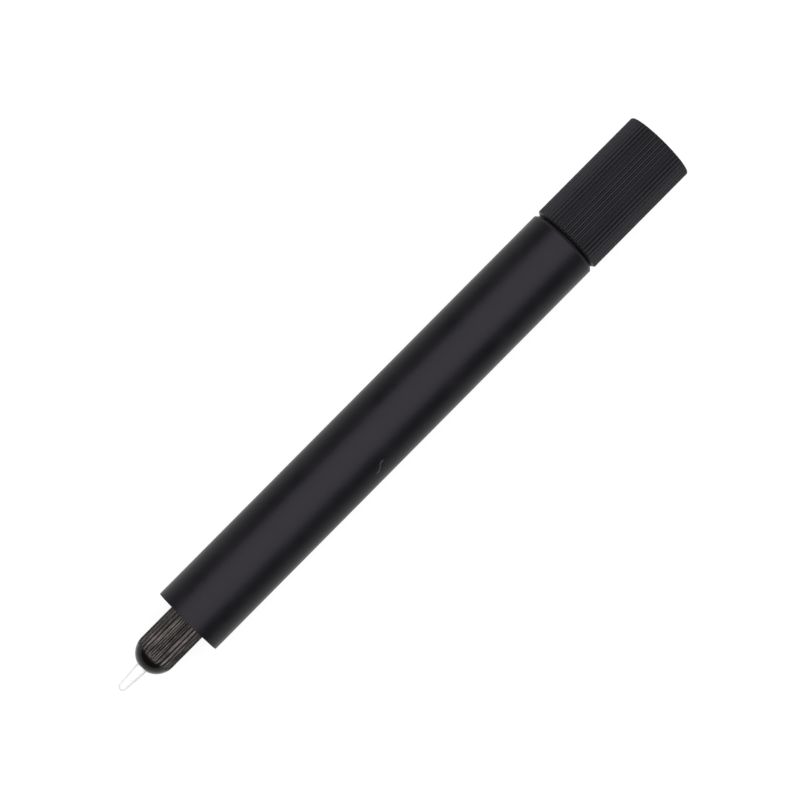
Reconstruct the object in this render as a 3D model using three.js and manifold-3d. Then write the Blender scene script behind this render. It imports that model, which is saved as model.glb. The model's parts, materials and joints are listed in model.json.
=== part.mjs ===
// Twist-action technical pen, in millimetres, +Z up.
//
// The pen lies along X on the plane Z = 0, with its writing point towards -X. Turning the ribbed knob
// draws the carrier, the refill and the nose back into the barrel. Stations along the pen are counted
// from the barrel's front face, positive towards the knob, with the point fully out.

import * as THREE from "three";
import { mergeVertices } from "three/addons/utils/BufferGeometryUtils.js";
import Module from "manifold-3d";

const wasm = await Module();
wasm.setup();

// ---------------------------------------------------------------- driving dimensions

const FULL_TURN = 2 * Math.PI;

const SLIDING = 0.1;        // radial clearance of pieces that slide or turn in each other
const FIXED = 0.05;         // gap that stands for a pressed or glued joint
const LIGHT_RING = 0.05;    // clearance of a soft ring from the face it brushes
const OVERCUT = 1;          // how far a cutter runs past the face that it leaves

const ROUND = 32;           // sides of an ordinary turned face
const ROUND_LARGE = 60;     // sides of the barrel
const ROUND_SMALL = 16;     // sides of thin pieces
const RING_SIDES = 6;       // sides of a soft ring's section

// barrel
const BARREL_R = 6.35;
const BARREL_LENGTH = 86.8;
const BARREL_REAR_CHAMFER = 0.5;
const BARREL_FRONT_CHAMFER = 0.06;
const MOUTH_EDGE = 0.15;            // chamfer of the bore at the front face
const MOUTH_LENGTH = 8;             // the narrow bore behind the front face
const GUIDE_LENGTH = 28;            // the bore that holds the guide sleeve
const GUIDE_BORE_R = 4.6;
const MAIN_BORE_R = 5.2;

// knob
const KNOB_R = 6.4;
const KNOB_GAP = 0.25;
const KNOB_LENGTH = 21.95;
const KNOB_RIBS = 52;
const KNOB_RIB_DEPTH = 0.24;
const KNOB_FRONT_CHAMFER_LENGTH = 0.38;
const KNOB_FRONT_CHAMFER_DEPTH = 0.5;
const KNOB_REAR_CHAMFER = 0.16;
const KNOB_BORE_R = 4.95;
const KNOB_END_WALL = 3.5;

// carrier and its screw motion
const STROKE = 16;                  // how far the nose goes back
const LEAD = 8;                     // travel in one turn of the knob
const CARRIER_R = 3.55;
const CARRIER_FRONT = 6.9;          // the shoulder behind the spigot
const CARRIER_REAR = 84;
const SPIGOT_R = 2.5;
const SPIGOT_FRONT = -5;
const REFILL_BORE_R = 1.3;
const SPRING_BORE_R = 2.2;
const SPRING_BORE_FRONT = 52;
const SPRING_REAR = 61.6;
const SCREW_FRONT = 62;             // the screw that backs the refill's spring
const SCREW_REAR = 66;
const SLOT_FLOOR_R = 2.9;           // bottom of the keyway and of the helical grooves
const DRIVE_STATION = 80;           // where the drive pins stand
const KEY_STATION = 30;             // where the key pin stands
const PIN_R = 0.75;
const PIN_FLOOR_R = 3.0;
const SLOT_HALF_WIDTH = 0.85;

// nose and point
const NOSE_R = 3.5;
const NOSE_OUT = 10.6;              // how far it stands out of the barrel
const NOSE_REAR = 6;
const NOSE_RIBS = 28;
const NOSE_RIB_DEPTH = 0.2;
const NOSE_LAND_R = 3.55;
const NOSE_LAND_FRONT = 1;          // where the plain land starts, behind the barrel's front face
const NOSE_SEAL_R = 3.0;
const DOME_LENGTH = 3.6;            // along the pen, if the dome ran to a point
const TIP_HOLE_R = 1.1;
const REFILL_R = 1.175;
const NEEDLE_R = 0.25;
const NEEDLE_OUT = 1.6;             // how far the needle stands out of the nose
const COLLAR_R = 0.45;              // the thin front of the point, round the needle
const COLLAR_LENGTH = 1.6;
const POINT_CONE_R = 0.95;
const STUB_LENGTH = 2.5;            // of the point, inside the refill's tube
const CAP_OUT = 4.9;                // how far the cap stands out of the nose
const CAP_R = 1.0;
const CAP_END_R = 0.7;
const CAP_BORE_R = 0.5;
const CAP_INSIDE = 1.5;             // how far the cap reaches into the nose
const CAP_TAPER_REAR = 0.6;         // the cap is straight from here, in front of the nose, to its rear

// ---------------------------------------------------------------- derived places

const KNOB_FRONT = BARREL_LENGTH + KNOB_GAP;
const KNOB_REAR = KNOB_FRONT + KNOB_LENGTH;
const NOSE_FRONT = -NOSE_OUT;
const CAP_FRONT = NOSE_FRONT - CAP_OUT;
const MOUTH_R = CARRIER_R + SLIDING;
const GUIDE_REAR = MOUTH_LENGTH + GUIDE_LENGTH;

const FLANGE_LENGTH = 1.5;          // the guide sleeve's flange
const BEARING_FRONT = 76.5;
const BEARING_REAR = 84.5;
const SLEEVE_R = 4.45;
const SLEEVE_FRONT = 74;
const SLEEVE_SHOULDER = 85.1;
const SLEEVE_SHOULDER_R = KNOB_BORE_R - FIXED;
const SLEEVE_REAR = 97;
const CLIP_FRONT = 75.6;
const CLIP_REAR = 76.2;
const CLIP_SEAT_R = 4.1;
const CLIP_MOUTH = 4.4;             // the clip's open side
const KNOB_RING_STATION = 86.05;
const KNOB_RING_SEAT_R = 4.3;

const SHOULDER_STATION = -8;        // where the refill's shoulder meets the nose
const REFILL_REAR = 53.1;
const REFILL_WALL = 0.25;
const REFILL_TUBE_FRONT = -4;
const REFILL_STUB_R = REFILL_R - REFILL_WALL - FIXED;
const PLUG_HEAD_FRONT = REFILL_REAR - 0.55;

const MOUTH_RING_STATION = 4.4;
const MOUTH_RING_SEAT_R = 4.5;
const RING_SEAT_HALF = 0.5;         // half the width of the seat of a ring in the barrel or the knob
const CARRIER_RING_STATION = 10;

// ---------------------------------------------------------------- materials

function finish(name, color, roughness, metalness) {
  return new THREE.MeshStandardMaterial({ name, color, roughness, metalness });
}

const MATERIALS = {
  barrel: finish("barrel_black", 0x26262a, 0.5, 0.4),
  knob: finish("knob_black", 0x232326, 0.55, 0.4),
  nose: finish("nose_gunmetal", 0x453f3c, 0.35, 0.8),
  steel: finish("steel", 0x9a9ca0, 0.35, 0.9),
  dark_steel: finish("dark_steel", 0x2e2e31, 0.4, 0.8),
  bronze: finish("bronze", 0xb08a4e, 0.4, 0.9),
  rubber: finish("seal_rubber", 0x161616, 0.85, 0),
  washer: finish("washer_plastic", 0xe8e6df, 0.6, 0),
  clear: finish("clear_plastic", 0xeef0f2, 0.3, 0),
};
MATERIALS.clear.transparent = true;
MATERIALS.clear.opacity = 0.4;

// ---------------------------------------------------------------- solids

/** A closed solid from a geometry whose shared corners are merged first. */
function toSolid(geometry) {
  const bare = geometry.clone();
  bare.deleteAttribute("normal");
  bare.deleteAttribute("uv");
  const merged = mergeVertices(bare, 1e-5);
  const corners = merged.index.array;
  const triangles = [];
  for (let i = 0; i < corners.length; i += 3) {
    const [a, b, c] = corners.slice(i, i + 3);
    if (a !== b && b !== c && c !== a) triangles.push(a, b, c);
  }
  const vertProperties = merged.attributes.position.array;
  const triVerts = new Uint32Array(triangles);
  return new wasm.Manifold(new wasm.Mesh({ numProp: 3, vertProperties, triVerts }));
}

/**
 * A piece turned about the pen's axis. The profile is a list of [station, radius], run along the
 * outside towards the knob and back along the inside; it ends on the axis, or closes on itself.
 */
function turned(profile, sides = ROUND) {
  const points = profile.map(([station, radius]) => new THREE.Vector2(radius, station));
  const [first, last] = [points[0], points[points.length - 1]];
  if (first.x > 0 || last.x > 0) points.push(first.clone());
  return toSolid(new THREE.LatheGeometry(points, sides).rotateZ(-FULL_TURN / 4));
}

/** A plain tube between two stations. */
function tube(front, rear, outerR, innerR, sides = ROUND) {
  return turned([[front, outerR], [rear, outerR], [rear, innerR], [front, innerR]], sides);
}

/** A plain round bar between two stations. */
function bar(front, rear, radius, sides = ROUND) {
  return turned([[front, 0], [front, radius], [rear, radius], [rear, 0]], sides);
}

/** A soft ring of round section. */
function softRing(station, ringR, sectionR, sides = ROUND) {
  const profile = [];
  for (let i = 0; i < RING_SIDES; i++) {
    const angle = (i + 0.5) * FULL_TURN / RING_SIDES;
    profile.push([station - sectionR * Math.cos(angle), ringR + sectionR * Math.sin(angle)]);
  }
  return turned(profile, sides);
}

/** A straight-ribbed bar: every rib has a flat tip and a flat root of the same width. */
function ribbedBar(front, rear, tipR, ribs, depth) {
  const shape = new THREE.Shape();
  const pitch = FULL_TURN / ribs;
  const half = 0.16;                // half of a tip or root, as a share of the pitch
  const rootR = tipR - depth;
  const corners = [[-half, tipR], [half, tipR], [0.5 - half, rootR], [0.5 + half, rootR]];
  for (let rib = 0; rib < ribs; rib++) {
    for (const [along, radius] of corners) {
      const angle = (rib + along) * pitch;
      const [x, y] = [radius * Math.cos(angle), radius * Math.sin(angle)];
      if (shape.curves.length || shape.currentPoint.length()) shape.lineTo(x, y);
      else shape.moveTo(x, y);
    }
  }
  const geometry = new THREE.ExtrudeGeometry(shape, { depth: rear - front, bevelEnabled: false });
  return toSolid(geometry.rotateY(FULL_TURN / 4).translate(front, 0, 0));
}

/** A straight pin standing across the pen, from an inner to an outer radius. */
function crossPin(radius, innerR, outerR, station, angle) {
  const geometry = new THREE.CylinderGeometry(radius, radius, outerR - innerR, ROUND_SMALL);
  geometry.translate(0, (innerR + outerR) / 2, 0);
  return toSolid(geometry.rotateX(angle).translate(station, 0, 0));
}

/** A cutter for one helical groove that starts at a drive pin's angle and runs forwards. */
function helicalCutter(pinAngle) {
  const margin = SLOT_HALF_WIDTH / LEAD;
  const turns = STROKE / LEAD;
  const stepsPerTurn = 16;
  const outerR = CARRIER_R + 0.4;
  const slantFactor = 1.08;         // the groove is cut along the pen, so it is wider than its pin
  const geometry = new THREE.BoxGeometry(1, 1, 1, stepsPerTurn * turns, 1, 1);
  const places = geometry.attributes.position;
  for (let i = 0; i < places.count; i++) {
    const turn = (places.getX(i) + 0.5) * (turns + 2 * margin) - margin;
    const angle = pinAngle + turn * FULL_TURN;
    const across = places.getY(i) * 2 * SLOT_HALF_WIDTH * slantFactor;
    const radius = places.getZ(i) > 0 ? outerR : SLOT_FLOOR_R;
    const station = DRIVE_STATION - turn * LEAD + across;
    places.setXYZ(i, station, radius * Math.cos(angle), radius * Math.sin(angle));
  }
  return toSolid(geometry);
}

// ---------------------------------------------------------------- barrel and what is fixed in it

function barrel() {
  const seatFront = MOUTH_RING_STATION - RING_SEAT_HALF;
  const seatRear = MOUTH_RING_STATION + RING_SEAT_HALF;
  const ringSeat = tube(seatFront, seatRear, MOUTH_RING_SEAT_R, MOUTH_R - SLIDING);
  const shell = turned([
    [0, BARREL_R - BARREL_FRONT_CHAMFER],
    [BARREL_FRONT_CHAMFER, BARREL_R],
    [BARREL_LENGTH - BARREL_REAR_CHAMFER, BARREL_R],
    [BARREL_LENGTH, BARREL_R - BARREL_REAR_CHAMFER],
    [BARREL_LENGTH, MAIN_BORE_R],
    [GUIDE_REAR, MAIN_BORE_R],
    [GUIDE_REAR, GUIDE_BORE_R],
    [MOUTH_LENGTH, GUIDE_BORE_R],
    [MOUTH_LENGTH, MOUTH_R],
    [MOUTH_EDGE, MOUTH_R],
    [0, MOUTH_R + MOUTH_EDGE],
  ], ROUND_LARGE);
  return shell.subtract(ringSeat);
}

function mouthRing() {
  const sectionR = 0.4;
  return softRing(MOUTH_RING_STATION, CARRIER_R + LIGHT_RING + sectionR, sectionR);
}

function guideSleeve() {
  const flangeFront = GUIDE_REAR + FIXED;
  const flangeRear = flangeFront + FLANGE_LENGTH;
  const body = turned([
    [MOUTH_LENGTH + FIXED, GUIDE_BORE_R - FIXED],
    [flangeFront, GUIDE_BORE_R - FIXED],
    [flangeFront, MAIN_BORE_R - FIXED],
    [flangeRear, MAIN_BORE_R - FIXED],
    [flangeRear, MOUTH_R],
    [MOUTH_LENGTH + FIXED, MOUTH_R],
  ]);
  return body.subtract(crossPin(PIN_R + FIXED, PIN_FLOOR_R, MAIN_BORE_R, KEY_STATION, 0));
}

function keyPin() {
  return crossPin(PIN_R, PIN_FLOOR_R, GUIDE_BORE_R - SLIDING, KEY_STATION, 0);
}

function rearBearing() {
  return tube(BEARING_FRONT, BEARING_REAR, MAIN_BORE_R - FIXED, SLEEVE_R + SLIDING);
}

function thrustWasher() {
  return tube(BEARING_REAR + SLIDING, SLEEVE_SHOULDER - SLIDING, MAIN_BORE_R - SLIDING, SLEEVE_R + SLIDING);
}

// ---------------------------------------------------------------- knob and what turns with it

function knobShell() {
  const ribbed = ribbedBar(KNOB_FRONT, KNOB_REAR, KNOB_R, KNOB_RIBS, KNOB_RIB_DEPTH);
  const chamferRear = KNOB_FRONT + KNOB_FRONT_CHAMFER_LENGTH;
  const envelope = turned([
    [KNOB_FRONT, 0],
    [KNOB_FRONT, KNOB_R - KNOB_FRONT_CHAMFER_DEPTH],
    [chamferRear, KNOB_R],
    [chamferRear, KNOB_R + OVERCUT],
    [KNOB_REAR - KNOB_REAR_CHAMFER - OVERCUT, KNOB_R + OVERCUT],
    [KNOB_REAR, KNOB_R - KNOB_REAR_CHAMFER],
    [KNOB_REAR, 0],
  ]);
  const inside = bar(KNOB_FRONT - OVERCUT, KNOB_REAR - KNOB_END_WALL, KNOB_BORE_R);
  return ribbed.intersect(envelope).subtract(inside);
}

function driveSleeve() {
  const sleeve = turned([
    [SLEEVE_FRONT, SLEEVE_R],
    [CLIP_FRONT - FIXED, SLEEVE_R],
    [CLIP_FRONT - FIXED, CLIP_SEAT_R],
    [CLIP_REAR + FIXED, CLIP_SEAT_R],
    [CLIP_REAR + FIXED, SLEEVE_R],
    [SLEEVE_SHOULDER, SLEEVE_R],
    [SLEEVE_SHOULDER, SLEEVE_SHOULDER_R],
    [KNOB_RING_STATION - RING_SEAT_HALF, SLEEVE_SHOULDER_R],
    [KNOB_RING_STATION - RING_SEAT_HALF, KNOB_RING_SEAT_R],
    [KNOB_RING_STATION + RING_SEAT_HALF, KNOB_RING_SEAT_R],
    [KNOB_RING_STATION + RING_SEAT_HALF, SLEEVE_SHOULDER_R],
    [SLEEVE_REAR, SLEEVE_SHOULDER_R],
    [SLEEVE_REAR, CARRIER_R + SLIDING],
    [SLEEVE_FRONT, CARRIER_R + SLIDING],
  ]);
  const pinHole = (angle) => crossPin(PIN_R + FIXED, PIN_FLOOR_R, SLEEVE_R + OVERCUT, DRIVE_STATION, angle);
  return sleeve.subtract(pinHole(0)).subtract(pinHole(FULL_TURN / 2));
}

function drivePin(angle) {
  return crossPin(PIN_R, PIN_FLOOR_R, SLEEVE_R - FIXED, DRIVE_STATION, angle);
}

function retainingClip() {
  const ring = tube(CLIP_FRONT, CLIP_REAR, MAIN_BORE_R - 2 * SLIDING, CLIP_SEAT_R + FIXED);
  const mouth = new THREE.BoxGeometry(2 * OVERCUT, 2 * MAIN_BORE_R, CLIP_MOUTH);
  mouth.translate((CLIP_FRONT + CLIP_REAR) / 2, -MAIN_BORE_R, 0);
  return ring.subtract(toSolid(mouth));
}

function knobRing() {
  const sectionR = 0.39;
  return softRing(KNOB_RING_STATION, KNOB_RING_SEAT_R + FIXED + sectionR, sectionR);
}

// ---------------------------------------------------------------- carrier, refill and spring

function carrierTube() {
  const seatHalf = 0.4;
  const seatFloor = 2.95;
  const rearChamfer = 0.3;
  const body = turned([
    [SPIGOT_FRONT, SPIGOT_R],
    [CARRIER_FRONT, SPIGOT_R],
    [CARRIER_FRONT, CARRIER_R],
    [CARRIER_RING_STATION - seatHalf, CARRIER_R],
    [CARRIER_RING_STATION - seatHalf, seatFloor],
    [CARRIER_RING_STATION + seatHalf, seatFloor],
    [CARRIER_RING_STATION + seatHalf, CARRIER_R],
    [CARRIER_REAR - rearChamfer, CARRIER_R],
    [CARRIER_REAR, CARRIER_R - rearChamfer],
    [CARRIER_REAR, SPRING_BORE_R],
    [SPRING_BORE_FRONT, SPRING_BORE_R],
    [SPRING_BORE_FRONT, REFILL_BORE_R],
    [SPIGOT_FRONT, REFILL_BORE_R],
  ]);
  const keywayLength = STROKE + 2 * SLOT_HALF_WIDTH;
  const keyway = new THREE.BoxGeometry(keywayLength, 2 * OVERCUT, 2 * SLOT_HALF_WIDTH);
  keyway.translate(KEY_STATION - STROKE / 2, SLOT_FLOOR_R + OVERCUT, 0);
  return body
    .subtract(toSolid(keyway))
    .subtract(helicalCutter(0))
    .subtract(helicalCutter(FULL_TURN / 2));
}

function carrierRing() {
  const sectionR = 0.3;
  return softRing(CARRIER_RING_STATION, MOUTH_R - LIGHT_RING - sectionR, sectionR);
}

function refillTube() {
  const rear = PLUG_HEAD_FRONT - FIXED;
  return tube(REFILL_TUBE_FRONT, rear, REFILL_R, REFILL_R - REFILL_WALL, ROUND_SMALL);
}

function refillPoint() {
  const boreR = NEEDLE_R + 0.03;
  const stubRear = REFILL_TUBE_FRONT + STUB_LENGTH;
  return turned([
    [NOSE_FRONT, COLLAR_R],
    [NOSE_FRONT + COLLAR_LENGTH, COLLAR_R],
    [SHOULDER_STATION - FIXED, POINT_CONE_R],
    [SHOULDER_STATION + FIXED, POINT_CONE_R],
    [SHOULDER_STATION + FIXED, REFILL_R],
    [REFILL_TUBE_FRONT - FIXED, REFILL_R],
    [REFILL_TUBE_FRONT - FIXED, REFILL_STUB_R],
    [stubRear, REFILL_STUB_R],
    [stubRear, boreR],
    [NOSE_FRONT, boreR],
  ], ROUND_SMALL);
}

function refillNeedle() {
  const front = NOSE_FRONT - NEEDLE_OUT;
  const seated = 3;                 // length held behind the refill's shoulder
  const rear = SHOULDER_STATION + seated;
  const rounding = 0.1;
  return turned([
    [front, 0],
    [front, NEEDLE_R - rounding],
    [front + rounding, NEEDLE_R],
    [rear, NEEDLE_R],
    [rear, 0],
  ], ROUND_SMALL);
}

function refillEndPlug() {
  const front = REFILL_REAR - 4;
  return turned([
    [front, 0],
    [front, REFILL_STUB_R],
    [PLUG_HEAD_FRONT, REFILL_STUB_R],
    [PLUG_HEAD_FRONT, REFILL_R],
    [REFILL_REAR, REFILL_R],
    [REFILL_REAR, 0],
  ], ROUND_SMALL);
}

function springPlunger() {
  const front = REFILL_REAR + FIXED;
  const headRear = front + 0.8;
  const stemRear = front + 3.5;
  const stemR = 1.2;
  return turned([
    [front, 0],
    [front, SPRING_BORE_R - SLIDING],
    [headRear, SPRING_BORE_R - SLIDING],
    [headRear, stemR],
    [stemRear, stemR],
    [stemRear, 0],
  ], ROUND_SMALL);
}

class Helix extends THREE.Curve {
  constructor(front, rear, radius, coils) {
    super();
    Object.assign(this, { front, rear, radius, coils });
  }

  getPoint(share, target = new THREE.Vector3()) {
    const angle = share * this.coils * FULL_TURN;
    const station = this.front + share * (this.rear - this.front);
    return target.set(station, this.radius * Math.cos(angle), this.radius * Math.sin(angle));
  }
}

function refillSpring() {
  const front = REFILL_REAR + 1.2;
  const wireR = 0.18;
  const coils = 6;
  const section = new THREE.Shape().absarc(0, 0, wireR, 0, FULL_TURN);
  const coilR = SPRING_BORE_R - 2 * SLIDING - wireR;
  const extrudePath = new Helix(front, SPRING_REAR, coilR, coils);
  const options = { steps: 10 * coils, curveSegments: 4, extrudePath };
  return toSolid(new THREE.ExtrudeGeometry(section, options));
}

function springBackingScrew() {
  const slotDepth = 0.8;
  const slotWidth = 0.7;
  const slot = new THREE.BoxGeometry(2 * slotDepth, 3 * SPRING_BORE_R, slotWidth);
  slot.translate(SCREW_REAR, 0, 0);
  return bar(SCREW_FRONT, SCREW_REAR, SPRING_BORE_R - FIXED, ROUND_SMALL).subtract(toSolid(slot));
}

// ---------------------------------------------------------------- nose, its seal and the cap

function noseSeal() {
  const sectionR = 0.36;
  const station = (NOSE_REAR + CARRIER_FRONT) / 2;
  return softRing(station, NOSE_SEAL_R, sectionR);
}

/** The nose's outline: a domed end, the grip as a plain bar, and a plain land that runs in the mouth. */
function noseEnvelope() {
  const outline = [[NOSE_FRONT, 0]];
  const steps = 8;
  const lip = 0.12;                 // the flat ring round the hole
  const startAngle = Math.asin((TIP_HOLE_R + lip) / NOSE_R);
  for (let i = 0; i <= steps; i++) {
    const angle = startAngle + (FULL_TURN / 4 - startAngle) * i / steps;
    outline.push([NOSE_FRONT + DOME_LENGTH * (1 - Math.cos(angle)), NOSE_R * Math.sin(angle)]);
  }
  outline[0][0] = outline[1][0];
  const rear = (NOSE_LAND_FRONT + NOSE_REAR) / 2;
  outline.push([rear, NOSE_R], [rear, 0]);
  return turned(outline);
}

function noseCone() {
  const front = NOSE_FRONT - OVERCUT;
  const grip = ribbedBar(front, NOSE_LAND_FRONT + OVERCUT, NOSE_R, NOSE_RIBS, NOSE_RIB_DEPTH);
  const land = tube(NOSE_LAND_FRONT, NOSE_REAR, NOSE_LAND_R, SPIGOT_R);
  const inside = turned([
    [front, 0],
    [front, TIP_HOLE_R],
    [SHOULDER_STATION - FIXED, TIP_HOLE_R],
    [SHOULDER_STATION - FIXED, REFILL_BORE_R],
    [SPIGOT_FRONT - SLIDING, REFILL_BORE_R],
    [SPIGOT_FRONT - SLIDING, SPIGOT_R + FIXED],
    [NOSE_REAR + OVERCUT, SPIGOT_R + FIXED],
    [NOSE_REAR + OVERCUT, 0],
  ]);
  return noseEnvelope().intersect(grip).add(land).subtract(inside);
}

function tipCap() {
  const rear = NOSE_FRONT + CAP_INSIDE;
  const boreEnd = NOSE_FRONT - NEEDLE_OUT - 0.4;
  const taperRear = NOSE_FRONT - CAP_TAPER_REAR;
  const outline = [[CAP_FRONT, 0]];
  const steps = 5;
  for (let i = 1; i <= steps; i++) {
    const angle = FULL_TURN / 4 * i / steps;
    outline.push([CAP_FRONT + CAP_END_R * (1 - Math.cos(angle)), CAP_END_R * Math.sin(angle)]);
  }
  outline.push([taperRear, CAP_R], [rear, CAP_R], [rear, CAP_BORE_R], [boreEnd, CAP_BORE_R], [boreEnd, 0]);
  return turned(outline, ROUND_SMALL);
}

// ---------------------------------------------------------------- assembly

/** A named piece of the pen. */
function piece(name, solid, material) {
  const mesh = solid.getMesh();
  const geometry = new THREE.BufferGeometry();
  geometry.setAttribute("position", new THREE.BufferAttribute(mesh.vertProperties, 3));
  geometry.setIndex(new THREE.BufferAttribute(mesh.triVerts, 1));
  geometry.computeVertexNormals();
  const object = new THREE.Mesh(geometry, material);
  object.name = name;
  return object;
}

const barrelGroup = new THREE.Group().add(
  piece("barrel", barrel(), MATERIALS.barrel),
  piece("mouth_o_ring", mouthRing(), MATERIALS.rubber),
  piece("guide_sleeve", guideSleeve(), MATERIALS.bronze),
  piece("key_pin", keyPin(), MATERIALS.steel),
  piece("rear_bearing", rearBearing(), MATERIALS.bronze),
  piece("thrust_washer", thrustWasher(), MATERIALS.washer),
);

const knobGroup = new THREE.Group().add(
  piece("knob_shell", knobShell(), MATERIALS.knob),
  piece("drive_sleeve", driveSleeve(), MATERIALS.dark_steel),
  piece("drive_pin_1", drivePin(0), MATERIALS.steel),
  piece("drive_pin_2", drivePin(FULL_TURN / 2), MATERIALS.steel),
  piece("retaining_clip", retainingClip(), MATERIALS.steel),
  piece("knob_o_ring", knobRing(), MATERIALS.rubber),
);

const carrierGroup = new THREE.Group().add(
  piece("carrier_tube", carrierTube(), MATERIALS.steel),
  piece("carrier_o_ring", carrierRing(), MATERIALS.rubber),
  piece("refill_tube", refillTube(), MATERIALS.steel),
  piece("refill_point", refillPoint(), MATERIALS.steel),
  piece("refill_needle", refillNeedle(), MATERIALS.steel),
  piece("refill_end_plug", refillEndPlug(), MATERIALS.washer),
  piece("spring_plunger", springPlunger(), MATERIALS.bronze),
  piece("refill_spring", refillSpring(), MATERIALS.steel),
  piece("spring_backing_screw", springBackingScrew(), MATERIALS.steel),
);

const noseGroup = new THREE.Group().add(
  piece("nose_seal", noseSeal(), MATERIALS.rubber),
  piece("nose_cone", noseCone(), MATERIALS.nose),
  piece("tip_cap", tipCap(), MATERIALS.clear),
);

const group = new THREE.Group();
group.name = "technical_pen";
group.add(barrelGroup, knobGroup, carrierGroup, noseGroup);
// the pen rests on its knob, which is a little wider than the barrel
group.position.set(-(CAP_FRONT + KNOB_REAR) / 2, 0, KNOB_R);

export default group;
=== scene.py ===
"""Looks of a twist-action technical pen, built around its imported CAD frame.

The pen lies along X on the plane Z = 0, with its writing point towards -X. Every length is in metres.
Stations along the pen are counted from the barrel's front face, positive towards the knob.
"""

import json
import math

import bpy
from mathutils import Matrix, Vector

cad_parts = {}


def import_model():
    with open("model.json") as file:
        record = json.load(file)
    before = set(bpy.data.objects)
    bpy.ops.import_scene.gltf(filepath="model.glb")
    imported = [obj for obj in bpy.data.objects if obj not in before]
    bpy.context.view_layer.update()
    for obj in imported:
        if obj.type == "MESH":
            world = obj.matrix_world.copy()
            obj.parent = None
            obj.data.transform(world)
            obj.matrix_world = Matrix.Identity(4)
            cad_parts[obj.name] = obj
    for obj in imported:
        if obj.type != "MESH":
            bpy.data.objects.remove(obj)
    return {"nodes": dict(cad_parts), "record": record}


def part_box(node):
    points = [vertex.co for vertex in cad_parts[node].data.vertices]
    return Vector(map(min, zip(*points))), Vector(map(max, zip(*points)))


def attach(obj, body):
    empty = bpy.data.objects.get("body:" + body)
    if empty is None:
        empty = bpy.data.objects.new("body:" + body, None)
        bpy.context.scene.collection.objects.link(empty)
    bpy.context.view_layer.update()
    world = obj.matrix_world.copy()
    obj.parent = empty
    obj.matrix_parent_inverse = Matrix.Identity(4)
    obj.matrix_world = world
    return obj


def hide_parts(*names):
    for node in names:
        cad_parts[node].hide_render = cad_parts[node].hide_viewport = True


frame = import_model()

MM = 0.001
FULL_TURN = 2 * math.pi
QUARTER_TURN = FULL_TURN / 4
ON_AXIS = 1e-9                      # a radius below this is taken as a point on the pen's axis

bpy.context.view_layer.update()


# ---------------------------------------------------------------- places, from the frame

BARREL_FRONT_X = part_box("barrel")[0].x
AXIS_Z = sum(corner.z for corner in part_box("barrel")) / 2


def reach(node):
    """(front station, rear station, largest radius) of a CAD node."""
    low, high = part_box(node)
    return low.x - BARREL_FRONT_X, high.x - BARREL_FRONT_X, (high.y - low.y) / 2


_, BARREL_REAR, BARREL_R = reach("barrel")
KNOB_FRONT, KNOB_REAR, KNOB_R = reach("knob_shell")
NOSE_FRONT, NOSE_REAR, NOSE_LAND_R = reach("nose_cone")
CAP_FRONT, CAP_REAR, CAP_R = reach("tip_cap")
NEEDLE_FRONT, NEEDLE_REAR, NEEDLE_R = reach("refill_needle")
GUIDE_FRONT, GUIDE_REAR, GUIDE_R = reach("guide_sleeve")
_, _, DRIVE_SLEEVE_R = reach("drive_sleeve")


# ---------------------------------------------------------------- sizes that the frame doesn't tell

PRESSED_GAP = 0.05 * MM
SLIDING_GAP = 0.1 * MM

MAIN_BORE_R = GUIDE_R + PRESSED_GAP
MOUTH_R = NOSE_LAND_R + SLIDING_GAP
MOUTH_CHAMFER = 0.15 * MM
GUIDE_BORE_R = 4.6 * MM
GUIDE_STEP = 1.5 * MM               # the bore narrows this far before the guide sleeve's rear
RING_GROOVE_FRONT = 3.9 * MM
RING_GROOVE_REAR = 4.9 * MM
RING_GROOVE_R = 4.5 * MM
BARREL_REAR_CHAMFER = 0.5 * MM
BARREL_EDGE = 0.06 * MM

KNOB_BORE_R = DRIVE_SLEEVE_R + PRESSED_GAP
KNOB_END_WALL = 3.5 * MM
KNOB_FRONT_CHAMFER_LENGTH = 0.38 * MM
KNOB_FRONT_CHAMFER_DEPTH = 0.5 * MM
KNOB_REAR_CHAMFER = 0.16 * MM
KNOB_RIBS = 52
KNOB_RIB_DEPTH = 0.22 * MM
KNOB_RIB_FLAT = 0.3                 # share of a rib's pitch that is its level tip

NOSE_R = 3.5 * MM
NOSE_RIBS = 28
NOSE_RIB_DEPTH = 0.2 * MM
NOSE_RIB_FLAT = 0.1
NOSE_RIBS_END = 1.0 * MM            # behind this station the nose is a plain land
NOSE_THREAD_R = 2.55 * MM
NOSE_THREAD_END = -5.1 * MM
NOSE_REFILL_R = 1.3 * MM
NOSE_REFILL_END = -8.05 * MM
DOME_LENGTH = 3.6 * MM
DOME_STEPS = 28
TIP_HOLE_R = 1.1 * MM
TIP_HOLE_RIM = 0.12 * MM
TIP_HOLE_CHAMFER = 0.06 * MM
TIP_HOLE_CHAMFER_LENGTH = 0.1 * MM

CAP_END_R = 0.7 * MM
CAP_END_STEPS = 8
CAP_BORE_R = 0.5 * MM
CAP_BORE_SPARE = 0.4 * MM           # the bore reaches this far past the needle's point
CAP_TAPER_SPARE = 0.6 * MM          # the taper is complete this far in front of the nose
CAP_EDGE = 0.02 * MM
NEEDLE_EDGE = 0.1 * MM

SCUFF_STATION = 39.5 * MM
SCUFF_SIDE = -4.45 * MM
SCUFF_SLOPE = 0.46
SCUFF_HALF = 1.3 * MM
SCUFF_FADE_FROM = 0.7               # share of its half length where the scuff starts to fade
SCUFF_WAVE = 1.7 * MM
SCUFF_SWING = 0.12 * MM
SCUFF_CORE = 0.05 * MM
SCUFF_WIDTH = 0.17 * MM
SCUFF_RISE = 1 * MM                 # it fades in over this height above the pen's axis


# ---------------------------------------------------------------- meshes

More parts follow.
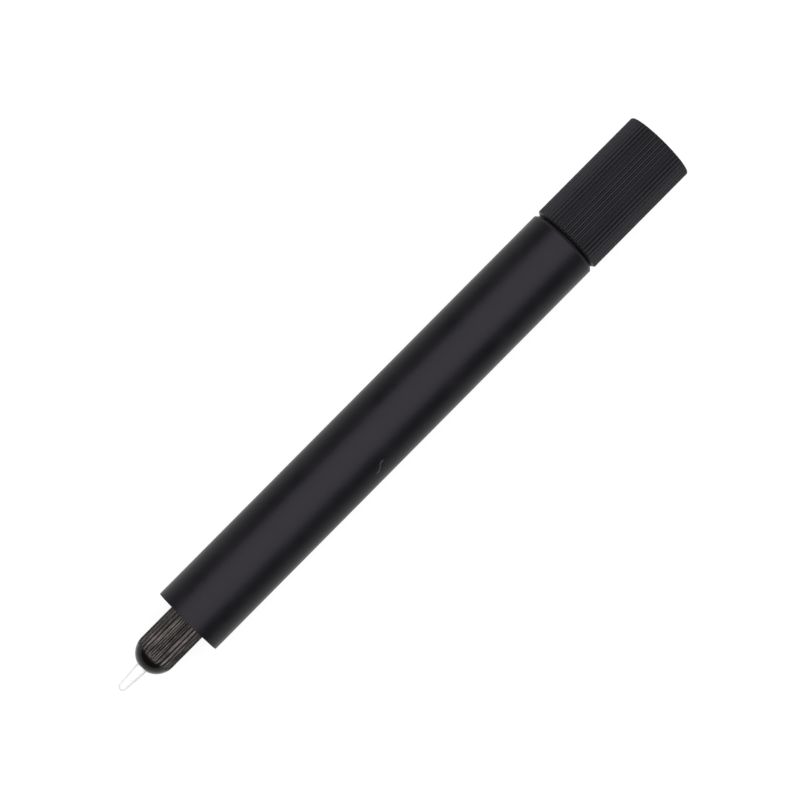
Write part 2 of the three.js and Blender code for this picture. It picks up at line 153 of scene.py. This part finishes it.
SHARP_ANGLE = math.radians(32)
LARGEST_CUT = 0.45                  # a rounding takes at most this share of the edge beside it
ROUNDING_STEPS = 3
RIB_ROOT = 0.86                     # share of half a pitch at which a rib's groove is deepest
POINTS_PER_RIB = 12


def new_object(name, points, faces, material):
    mesh = bpy.data.meshes.new(name)
    mesh.from_pydata([tuple(p) for p in points], [], faces)
    mesh.validate()
    mesh.materials.append(material)
    piece = bpy.data.objects.new(name, mesh)
    bpy.context.scene.collection.objects.link(piece)
    mesh.shade_smooth()
    mesh.set_sharp_from_angle(angle=SHARP_ANGLE)
    return piece


def place(station, radius, angle):
    """A point of the pen in the row frame."""
    return Vector((
        BARREL_FRONT_X + station,
        radius * math.cos(angle),
        AXIS_Z + radius * math.sin(angle),
    ))


def softened(profile, size):
    """The profile with each corner rounded by a curve that starts at most `size` from it."""
    corners = [Vector(p) for p in profile]
    rounded = []
    for i, corner in enumerate(corners):
        before, after = corners[i - 1], corners[(i + 1) % len(corners)]
        if corner.y < ON_AXIS:
            rounded.append(corner)
            continue
        back, ahead = before - corner, after - corner
        cut = min(size, LARGEST_CUT * back.length, LARGEST_CUT * ahead.length)
        start, end = corner + back.normalized() * cut, corner + ahead.normalized() * cut
        for step in range(ROUNDING_STEPS + 1):
            share = step / ROUNDING_STEPS
            rounded.append(start.lerp(corner, share).lerp(corner.lerp(end, share), share))
    return rounded


def ring_of(points, station, radii):
    """Adds one ring about the axis to `points`, and returns its indices. A ring of no radius is one
    point, listed once for every side."""
    sides, first = len(radii), len(points)
    if max(radii) < ON_AXIS:
        points.append(place(station, 0, 0))
        return [first] * sides
    points += [place(station, radius, FULL_TURN * i / sides) for i, radius in enumerate(radii)]
    return list(range(first, first + sides))


def faces_between(rings, closed):
    """The faces that join each ring to the next, and the last to the first when `closed`."""
    faces = []
    for k in range(len(rings) if closed else len(rings) - 1):
        here, there = rings[k], rings[(k + 1) % len(rings)]
        sides = len(here)
        for i in range(sides):
            j = (i + 1) % sides
            faces.append(list(dict.fromkeys([here[i], there[i], there[j], here[j]])))
    return [face for face in faces if len(face) > 2]


def turned(name, profile, material, sides, edge):
    """A piece turned about the pen's axis. The profile lists (station, radius), outside first and
    towards the knob, and comes back along the inside; it closes on itself, or ends on the axis."""
    outline = softened(profile, edge)
    points = []
    rings = [ring_of(points, corner.x, [corner.y] * sides) for corner in outline]
    starts_on_axis = outline[0].y < ON_AXIS
    return new_object(name, points, faces_between(rings, closed=not starts_on_axis), material)


def rib_drop(share, flat, depth):
    """How far below the ribs' tips the surface lies, at a share of one rib's pitch from its middle."""
    away = abs(share - round(share)) * 2
    if away <= flat:
        return 0.0
    fall = min((away - flat) / (RIB_ROOT - flat), 1.0)
    return depth * (0.5 - 0.5 * math.cos(math.pi * fall))


def ribbed(name, limits, inside, tip_r, ribs, depth, flat, material):
    """A straight-ribbed piece. `limits` lists (station, largest radius) along the outside, towards
    the knob; `inside` brings the profile back and is plain."""
    sides = ribs * POINTS_PER_RIB
    drops = [rib_drop((i % POINTS_PER_RIB) / POINTS_PER_RIB, flat, depth) for i in range(sides)]
    points, rings = [], []
    for station, largest in limits:
        radii = [min(largest, tip_r - drop) for drop in drops]
        rings.append(ring_of(points, station, radii))
    for station, radius in inside:
        rings.append(ring_of(points, station, [radius] * sides))
    return new_object(name, points, faces_between(rings, closed=True), material)


# ---------------------------------------------------------------- materials

class Nodes:
    """A small helper that builds one procedural material on a Principled shader."""

    def __init__(self, name):
        self.material = bpy.data.materials.new(name)
        self.material.use_nodes = True
        self.tree = self.material.node_tree
        self.shader = self.tree.nodes["Principled BSDF"]
        self.coords = self.add("ShaderNodeTexCoord")

    def add(self, kind, **values):
        node = self.tree.nodes.new(kind)
        for key, value in values.items():
            setattr(node, key, value)
        return node

    def link(self, output, socket):
        self.tree.links.new(output, socket)

    def drive(self, output, name):
        """Feeds a node's output to one of the shader's inputs."""
        self.link(output, self.shader.inputs[name])

    def set(self, **values):
        for key, value in values.items():
            self.shader.inputs[key.replace("_", " ")].default_value = value

    def stretched(self, scale, shift=(0, 0, 0)):
        """Object coordinates, scaled along each axis and then shifted."""
        mapping = self.add("ShaderNodeMapping")
        mapping.inputs["Location"].default_value = shift
        mapping.inputs["Scale"].default_value = scale
        self.link(self.coords.outputs["Object"], mapping.inputs["Vector"])
        return mapping.outputs["Vector"]

    def noise(self, scale, detail, roughness=0.55, shift=(0, 0, 0)):
        noise = self.add("ShaderNodeTexNoise")
        noise.inputs["Scale"].default_value = 1.0
        noise.inputs["Detail"].default_value = detail
        noise.inputs["Roughness"].default_value = roughness
        self.link(self.stretched(scale, shift), noise.inputs["Vector"])
        return noise.outputs["Fac"]

    def ramp(self, value, low, high, from_value, to_value):
        """Maps the stretch from low to high onto another range of numbers."""
        ramp = self.add("ShaderNodeMapRange")
        ramp.inputs["From Min"].default_value = low
        ramp.inputs["From Max"].default_value = high
        ramp.inputs["To Min"].default_value = from_value
        ramp.inputs["To Max"].default_value = to_value
        self.link(value, ramp.inputs["Value"])
        return ramp.outputs["Result"]

    def mix(self, factor, dark, light):
        mix = self.add("ShaderNodeMix", data_type="RGBA")
        mix.inputs["A"].default_value = (*dark, 1)
        mix.inputs["B"].default_value = (*light, 1)
        self.link(factor, mix.inputs["Factor"])
        return mix.outputs["Result"]

    def blend(self, factor, under, over):
        """Lays a plain colour over a colour that other nodes make."""
        mix = self.add("ShaderNodeMix", data_type="RGBA")
        mix.inputs["B"].default_value = (*over, 1)
        self.link(under, mix.inputs["A"])
        self.link(factor, mix.inputs["Factor"])
        return mix.outputs["Result"]

    def coordinate(self, axis):
        """The object coordinate along X, Y or Z."""
        split = self.add("ShaderNodeSeparateXYZ")
        self.link(self.coords.outputs["Object"], split.inputs["Vector"])
        return split.outputs[axis]

    def maths(self, operation, *values):
        """A Math node on sockets and plain numbers."""
        node = self.add("ShaderNodeMath", operation=operation)
        for value, socket in zip(values, node.inputs):
            if isinstance(value, (int, float)):
                socket.default_value = value
            else:
                self.link(value, socket)
        return node.outputs["Value"]

    def bump(self, height, strength, distance):
        bump = self.add("ShaderNodeBump")
        bump.inputs["Strength"].default_value = strength
        bump.inputs["Distance"].default_value = distance
        self.link(height, bump.inputs["Height"])
        return bump.outputs["Normal"]


GRAIN_STRENGTH = 0.5
GRAIN_HEIGHT = 0.02 * MM

CLOUD_LOW, CLOUD_HIGH = 0.35, 0.65  # the middle part of a noise, which holds nearly all its values
CLOUD_SCALE = (160, 160, 160)
VIOLET_SHEEN = (0.91, 0.85, 1.0, 1)
WORN_EDGE = (0.012, 0.0115, 0.0125)
WORN_FROM = BARREL_REAR - BARREL_REAR_CHAMFER - 0.12 * MM
WORN_FULL = BARREL_REAR - BARREL_REAR_CHAMFER + 0.05 * MM
SCUFF = (0.033, 0.033, 0.034)


def scuff_mask(m):
    """One small wavy scuff on the upper side of the barrel, near the middle."""
    u = m.maths("SUBTRACT", m.coordinate("X"), BARREL_FRONT_X + SCUFF_STATION)
    phase = m.maths("MULTIPLY", u, FULL_TURN / SCUFF_WAVE)
    wave = m.maths("MULTIPLY", m.maths("SINE", phase), SCUFF_SWING)
    line = m.maths("ADD", m.maths("MULTIPLY_ADD", u, SCUFF_SLOPE, SCUFF_SIDE), wave)
    off_line = m.maths("ABSOLUTE", m.maths("SUBTRACT", m.coordinate("Y"), line))
    across = m.ramp(off_line, SCUFF_CORE, SCUFF_WIDTH, 1, 0)
    ends = m.ramp(m.maths("ABSOLUTE", u), SCUFF_FADE_FROM * SCUFF_HALF, SCUFF_HALF, 1, 0)
    upper = m.ramp(m.coordinate("Z"), AXIS_Z, AXIS_Z + SCUFF_RISE, 0, 1)
    return m.maths("MULTIPLY", m.maths("MULTIPLY", across, ends), upper)


def black_anodised(name, dark, light, roughness, gloss, grain, handled=False):
    """Bead-blasted, black-anodised aluminium: a fine even grain and a little cloudiness. A handled
    piece has a rear edge that is rubbed a little greyer, and a scuff."""
    m = Nodes(name)
    m.set(Specular_IOR_Level=gloss, Specular_Tint=VIOLET_SHEEN)
    cloud = m.noise(CLOUD_SCALE, detail=5, roughness=0.65)
    fine = m.noise((grain, grain, grain), detail=2, roughness=0.6)
    colour = m.mix(m.ramp(cloud, CLOUD_LOW, CLOUD_HIGH, 0, 1), dark, light)
    if handled:
        start, end = BARREL_FRONT_X + WORN_FROM, BARREL_FRONT_X + WORN_FULL
        colour = m.blend(m.ramp(m.coordinate("X"), start, end, 0, 1), colour, WORN_EDGE)
        colour = m.blend(scuff_mask(m), colour, SCUFF)
    m.drive(colour, "Base Color")
    m.drive(m.ramp(cloud, CLOUD_LOW, CLOUD_HIGH, roughness - 0.03, roughness + 0.03), "Roughness")
    m.drive(m.bump(fine, GRAIN_STRENGTH, GRAIN_HEIGHT), "Normal")
    return m.material


# Lighter streaks along the nose's ribs: partly cutter marks, partly painted glints of the lamps on the
# ribs.
STREAK_SCALE = (220, 1100, 1100)
STREAK_SHIFT = (0, 12.4, 9.6)
STREAK_LOW, STREAK_HIGH = 0.43, 0.72
STREAKS_FROM = DOME_LENGTH - 1.9 * MM       # counted from the nose's front
STREAKS_FULL = DOME_LENGTH - 0.7 * MM
GUNMETAL_DARK = (0.014, 0.0125, 0.012)
# The streaks' colour: partly cutter marks, partly a painted highlight where the ribs catch the lamps.
GUNMETAL_MARK_AND_GLINT = (0.092, 0.081, 0.077)


def gunmetal(name):
    """Dark warm steel, with lighter streaks along the pen on the ribbed part: partly the marks that
    the rib cutter leaves, partly painted glints of the lamps on the ribs.
    """
    m = Nodes(name)
    m.set(Metallic=0.85)
    nose_x = BARREL_FRONT_X + NOSE_FRONT
    ribs = m.ramp(m.coordinate("X"), nose_x + STREAKS_FROM, nose_x + STREAKS_FULL, 0, 1)
    cut_marks_and_glints = m.noise(STREAK_SCALE, detail=5, roughness=0.75, shift=STREAK_SHIFT)
    marks_and_glints = m.maths("MULTIPLY", m.ramp(cut_marks_and_glints, STREAK_LOW, STREAK_HIGH, 0, 1), ribs)
    # Painted glints: the lighter streaks in the base colour stand partly for the lamps' reflections on
    # the ribs, partly for cutter marks.
    m.drive(m.mix(marks_and_glints, GUNMETAL_DARK, GUNMETAL_MARK_AND_GLINT), "Base Color")
    m.drive(m.ramp(marks_and_glints, 0, 1, 0.22, 0.32), "Roughness")
    m.drive(m.bump(marks_and_glints, GRAIN_STRENGTH, GRAIN_HEIGHT), "Normal")
    return m.material


def milky_plastic(name, dark, light):
    """Pale, matt and opaque: it stands for the clear plastic of the cap."""
    m = Nodes(name)
    m.set(Roughness=0.5, Specular_IOR_Level=0.1)
    cloud = m.noise((900, 900, 900), detail=2)
    m.drive(m.mix(cloud, dark, light), "Base Color")
    return m.material


def lathe_metal(name, colour, roughness):
    """Bare metal with the fine rings that a lathe leaves."""
    m = Nodes(name)
    m.set(Metallic=1.0)
    rings = m.noise((8000, 200, 200), detail=2)
    darker = tuple(0.82 * channel for channel in colour)
    m.drive(m.mix(rings, darker, colour), "Base Color")
    m.drive(m.ramp(rings, 0.3, 0.7, roughness - 0.05, roughness + 0.06), "Roughness")
    m.drive(m.bump(rings, 0.1, 0.005 * MM), "Normal")
    return m.material


def dull(name, dark, light, roughness):
    """Rubber or plain plastic: even, with a faint mottle."""
    m = Nodes(name)
    cloud = m.noise((500, 500, 500), detail=3)
    m.drive(m.mix(cloud, dark, light), "Base Color")
    m.drive(m.ramp(cloud, 0.3, 0.7, roughness - 0.04, roughness + 0.04), "Roughness")
    return m.material


MATERIALS = {
    "barrel_black": black_anodised(
        "barrel_black", (0.0028, 0.0027, 0.0033), (0.0050, 0.0046, 0.0057),
        roughness=0.39, gloss=0.155, grain=5000, handled=True,
    ),
    "knob_black": black_anodised(
        "knob_black", (0.0046, 0.0046, 0.0052), (0.0066, 0.0064, 0.0074),
        roughness=0.42, gloss=0.14, grain=6000,
    ),
    "nose_gunmetal": gunmetal("nose_gunmetal"),
    "steel": lathe_metal("steel", (0.62, 0.62, 0.63), 0.32),
    # Nearly black steel: its darkness is partly painted shade, for the narrow slot between barrel and
    # knob where this metal shows.
    "dark_steel": lathe_metal("dark_steel", (0.012, 0.012, 0.013), 0.5),
    "bronze": lathe_metal("bronze", (0.62, 0.44, 0.22), 0.38),
    "seal_rubber": dull("seal_rubber", (0.012, 0.012, 0.012), (0.018, 0.018, 0.018), 0.7),
    "washer_plastic": dull("washer_plastic", (0.74, 0.73, 0.70), (0.82, 0.81, 0.78), 0.5),
    "clear_plastic": milky_plastic("clear_plastic", (0.57, 0.575, 0.585), (0.61, 0.615, 0.62)),
}


# ---------------------------------------------------------------- pieces

def barrel_piece():
    return turned("barrel_tube", [
        (0, BARREL_R),
        (BARREL_REAR - BARREL_REAR_CHAMFER, BARREL_R),
        (BARREL_REAR, BARREL_R - BARREL_REAR_CHAMFER),
        (BARREL_REAR, MAIN_BORE_R),
        (GUIDE_REAR - GUIDE_STEP, MAIN_BORE_R),
        (GUIDE_REAR - GUIDE_STEP, GUIDE_BORE_R),
        (GUIDE_FRONT, GUIDE_BORE_R),
        (GUIDE_FRONT, MOUTH_R),
        (RING_GROOVE_REAR, MOUTH_R),
        (RING_GROOVE_REAR, RING_GROOVE_R),
        (RING_GROOVE_FRONT, RING_GROOVE_R),
        (RING_GROOVE_FRONT, MOUTH_R),
        (MOUTH_CHAMFER, MOUTH_R),
        (0, MOUTH_R + MOUTH_CHAMFER),
    ], MATERIALS["barrel_black"], sides=192, edge=BARREL_EDGE)


def knob_piece():
    length, depth, rear = KNOB_FRONT_CHAMFER_LENGTH, KNOB_FRONT_CHAMFER_DEPTH, KNOB_REAR_CHAMFER
    limits = []
    for share in (0, 0.2, 0.4, 0.6, 0.8, 1):
        limits.append((KNOB_FRONT + length * share, KNOB_R - depth * (1 - share)))
    for share in (1, 0.8, 0.6, 0.4, 0.2, 0.05, 0):
        limits.append((KNOB_REAR - rear * share, KNOB_R - rear * (1 - share)))
    limits.append((KNOB_REAR, KNOB_R - KNOB_RIB_DEPTH - rear))
    inside = [
        (KNOB_REAR, 0),
        (KNOB_REAR - KNOB_END_WALL, 0),
        (KNOB_REAR - KNOB_END_WALL, KNOB_BORE_R),
        (KNOB_FRONT, KNOB_BORE_R),
    ]
    return ribbed(
        "knob_ribbed", limits, inside,
        KNOB_R, KNOB_RIBS, KNOB_RIB_DEPTH, KNOB_RIB_FLAT, MATERIALS["knob_black"],
    )


def nose_piece():
    start = math.asin((TIP_HOLE_R + TIP_HOLE_RIM) / NOSE_R)
    front = NOSE_FRONT - DOME_LENGTH * (1 - math.cos(start))
    limits = []
    for step in range(DOME_STEPS + 1):
        angle = start + (QUARTER_TURN - start) * step / DOME_STEPS
        limits.append((front + DOME_LENGTH * (1 - math.cos(angle)), NOSE_R * math.sin(angle)))
    limits.append((NOSE_RIBS_END, NOSE_R))
    inside = [
        (NOSE_RIBS_END, NOSE_LAND_R),
        (NOSE_REAR, NOSE_LAND_R),
        (NOSE_REAR, NOSE_THREAD_R),
        (NOSE_THREAD_END, NOSE_THREAD_R),
        (NOSE_THREAD_END, NOSE_REFILL_R),
        (NOSE_REFILL_END, NOSE_REFILL_R),
        (NOSE_REFILL_END, TIP_HOLE_R),
        (NOSE_FRONT + TIP_HOLE_CHAMFER_LENGTH, TIP_HOLE_R),
        (NOSE_FRONT, TIP_HOLE_R + TIP_HOLE_CHAMFER),
    ]
    return ribbed(
        "nose_ribbed", limits, inside,
        NOSE_R, NOSE_RIBS, NOSE_RIB_DEPTH, NOSE_RIB_FLAT, MATERIALS["nose_gunmetal"],
    )


def cap_piece():
    profile = [(CAP_FRONT, 0)]
    for step in range(1, CAP_END_STEPS + 1):
        angle = QUARTER_TURN * step / CAP_END_STEPS
        profile.append((CAP_FRONT + CAP_END_R * (1 - math.cos(angle)), CAP_END_R * math.sin(angle)))
    bore_end = NEEDLE_FRONT - CAP_BORE_SPARE
    profile += [
        (NOSE_FRONT - CAP_TAPER_SPARE, CAP_R),
        (CAP_REAR, CAP_R),
        (CAP_REAR, CAP_BORE_R),
        (bore_end, CAP_BORE_R),
        (bore_end, 0),
    ]
    return turned("tip_protector", profile, MATERIALS["clear_plastic"], sides=64, edge=CAP_EDGE)


def needle_piece():
    return turned("needle_tube", [
        (NEEDLE_FRONT, 0),
        (NEEDLE_FRONT, NEEDLE_R),
        (NEEDLE_REAR, NEEDLE_R),
        (NEEDLE_REAR, 0),
    ], MATERIALS["steel"], sides=32, edge=NEEDLE_EDGE)


# ---------------------------------------------------------------- assembly

def show(piece, body, node):
    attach(piece, body)
    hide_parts(node)


def dress_cad_nodes():
    slots = {row["node"]: row["material_slot"] for row in frame["record"]["subparts"]}
    for name, node in frame["nodes"].items():
        node.data.materials.clear()
        node.data.materials.append(MATERIALS[slots[name]])


dress_cad_nodes()
show(barrel_piece(), "barrel", "barrel")
show(knob_piece(), "knob", "knob_shell")
show(nose_piece(), "nose", "nose_cone")
show(cap_piece(), "cap", "tip_cap")
show(needle_piece(), "carrier", "refill_needle")


# ---------------------------------------------------------------- camera, floor and light

VIEW_DISTANCE = 0.595
VIEW_LENS = 165.0                   # focal length and sensor width, in millimetres
VIEW_SENSOR = 36
VIEW_NEAR, VIEW_FAR = 0.01, 20
VIEW_TILT = math.radians(2.85)      # the camera stands this far towards the writing point
VIEW_ROLL = math.radians(45.23)     # the pen's angle in the picture
AIM = Vector((0.00288, 0.00084, AXIS_Z))

FLOOR_HALF = 3.0
FLOOR_GREY = (0.1, 0.1, 0.1, 1)
FLOOR_GLOW = 0.87
WHITE = (1, 1, 1, 1)
WORLD_STRENGTH = 0.04


def camera():
    data = bpy.data.cameras.new("camera")
    data.lens = VIEW_LENS
    data.sensor_width = VIEW_SENSOR
    data.clip_start, data.clip_end = VIEW_NEAR, VIEW_FAR
    eye = bpy.data.objects.new("camera", data)
    bpy.context.scene.collection.objects.link(eye)
    back = Vector((-math.sin(VIEW_TILT), 0, math.cos(VIEW_TILT)))
    along = Vector((math.cos(VIEW_TILT), 0, math.sin(VIEW_TILT)))
    across = Vector((0, 1, 0))
    right = along * math.cos(VIEW_ROLL) - across * math.sin(VIEW_ROLL)
    up = along * math.sin(VIEW_ROLL) + across * math.cos(VIEW_ROLL)
    turn = Matrix((right, up, back)).transposed().to_4x4()
    eye.matrix_world = Matrix.Translation(AIM + back * VIEW_DISTANCE) @ turn
    bpy.context.scene.camera = eye


def area_light(name, place_at, target, width, height, watts):
    data = bpy.data.lights.new(name, "AREA")
    data.shape = "RECTANGLE"
    data.size, data.size_y = width, height
    data.energy = watts
    lamp = bpy.data.objects.new(name, data)
    bpy.context.scene.collection.objects.link(lamp)
    lamp.location = place_at
    lamp.rotation_mode = "QUATERNION"
    lamp.rotation_quaternion = (Vector(target) - Vector(place_at)).to_track_quat("-Z", "X")


def floor():
    """A white floor that glows a little short of full white, so the pen's shadow stays faint."""
    corners = [(-1, -1), (1, -1), (1, 1), (-1, 1)]
    mesh = bpy.data.meshes.new("floor")
    mesh.from_pydata([(x * FLOOR_HALF, y * FLOOR_HALF, 0) for x, y in corners], [], [(0, 1, 2, 3)])
    m = Nodes("floor_white")
    m.set(Roughness=0.9, Base_Color=FLOOR_GREY, Emission_Color=WHITE, Emission_Strength=FLOOR_GLOW)
    mesh.materials.append(m.material)
    piece = bpy.data.objects.new("floor", mesh)
    bpy.context.scene.collection.objects.link(piece)


def world():
    backdrop = bpy.data.worlds.new("world")
    backdrop.use_nodes = True
    shade = backdrop.node_tree.nodes["Background"]
    shade.inputs["Color"].default_value = WHITE
    shade.inputs["Strength"].default_value = WORLD_STRENGTH
    bpy.context.scene.world = backdrop


camera()
floor()
world()
area_light("overhead", (0, 0.09, 0.9), (0, 0.09, 0), width=1.8, height=1.8, watts=33.5)
area_light("knob_side", (0.95, 0, 0.14), (0, 0, 0), width=0.25, height=0.9, watts=0.75)
area_light("left_side", (0, 0.9, 0.24), (0, 0, 0), width=0.2, height=0.9, watts=0.25)
bpy.context.scene.view_settings.view_transform = "Standard"
